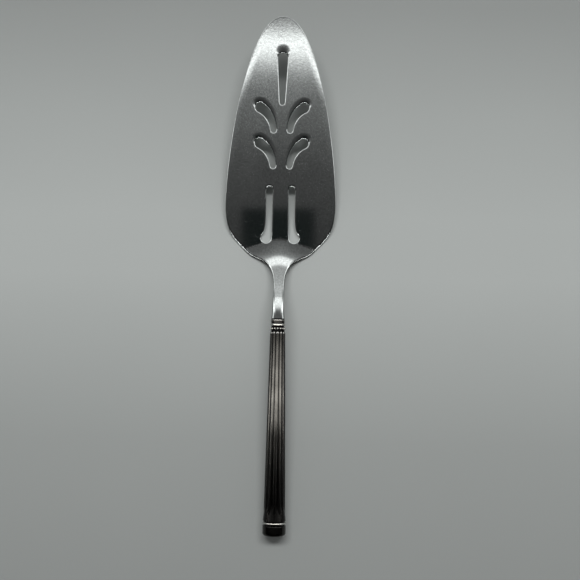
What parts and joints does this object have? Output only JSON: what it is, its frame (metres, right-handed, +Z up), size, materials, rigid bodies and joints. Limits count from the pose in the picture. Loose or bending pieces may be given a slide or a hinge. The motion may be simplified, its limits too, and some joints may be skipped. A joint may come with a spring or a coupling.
{
  "type": "cake server",
  "caption": "Pierced leaf-shaped steel cake server with a cranked neck, beaded collar and tapered, blackened and reeded hollow handle, for lifting and serving slices of cake or pie.",
  "frame": {"origin": "on the table under the middle of the whole length, halfway across the blade", "axes": "+X to the right of the blade, +Y from the handle to the tip, +Z up from the table, as the server lies on its heel and the end of its handle"},
  "size_m": [0.054, 0.2476, 0.0242],
  "materials": {
    "satin_steel": "satin, finely scratched",
    "polished_steel": "polished black, rubbed bright on the rings and beads",
    "dark_steel": "polished black reeds with darker creases",
    "cement": "dull cast cement"
  },
  "bodies": {
    "root": {"blade": "satin_steel", "collar": "polished_steel", "handle_front_shell": "dark_steel", "handle_back_shell": "dark_steel", "end_cap": "polished_steel", "cement_filling": "cement"}
  },
  "joints": []
}
